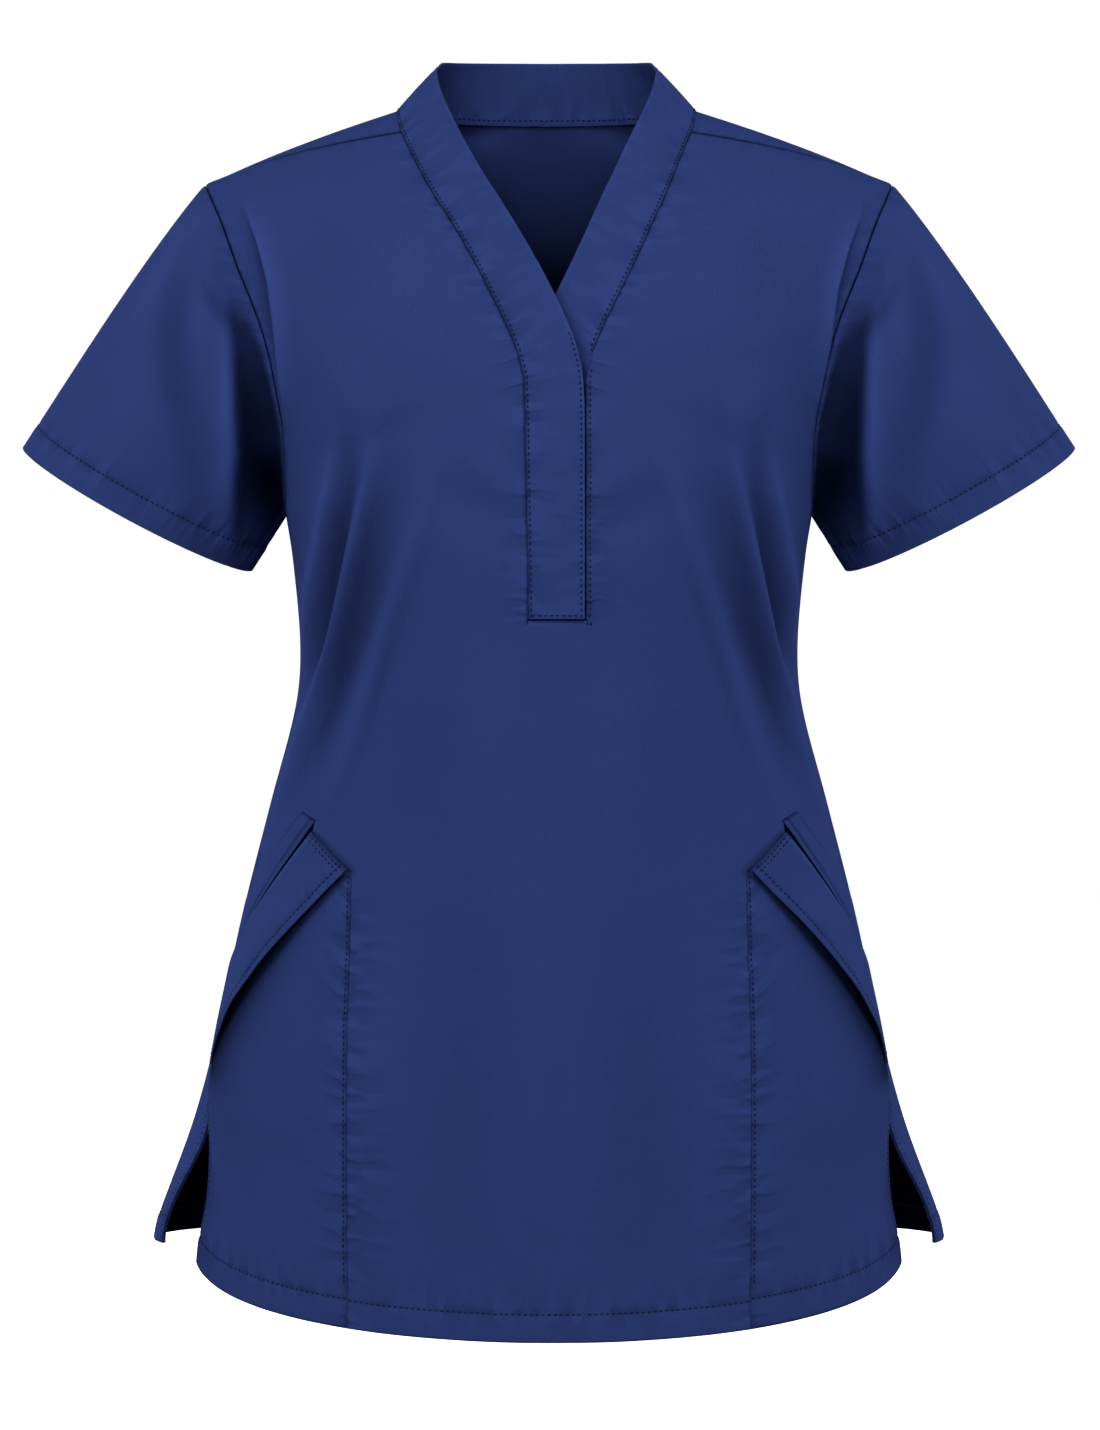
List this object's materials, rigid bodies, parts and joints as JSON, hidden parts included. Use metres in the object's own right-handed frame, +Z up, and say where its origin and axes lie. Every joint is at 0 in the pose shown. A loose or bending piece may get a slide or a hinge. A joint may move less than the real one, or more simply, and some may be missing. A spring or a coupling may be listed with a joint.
{
  "type": "scrub top",
  "caption": "Short-sleeved V-neck scrub top, filled out as worn, with a placket, slanted hip pockets and side vents.",
  "frame": {"origin": "middle of the neck opening, level with the high points of the shoulders, where the wearer's neck comes out", "axes": "+Z up, the front faces -Y, +X to the right of someone who looks at the front"},
  "size_m": [0.5868, 0.2576, 0.7019],
  "materials": {
    "cloth": "navy poplin-weave polyester and cotton blend, matt with a faint sheen"
  },
  "bodies": {
    "root": {"front": "cloth", "back": "cloth", "sleeve_left": "cloth", "sleeve_right": "cloth", "neckband": "cloth", "pocket_welt_left": "cloth", "pocket_left": "cloth", "pocket_flap_left": "cloth", "pocket_welt_right": "cloth", "pocket_right": "cloth", "pocket_flap_right": "cloth"}
  },
  "joints": []
}
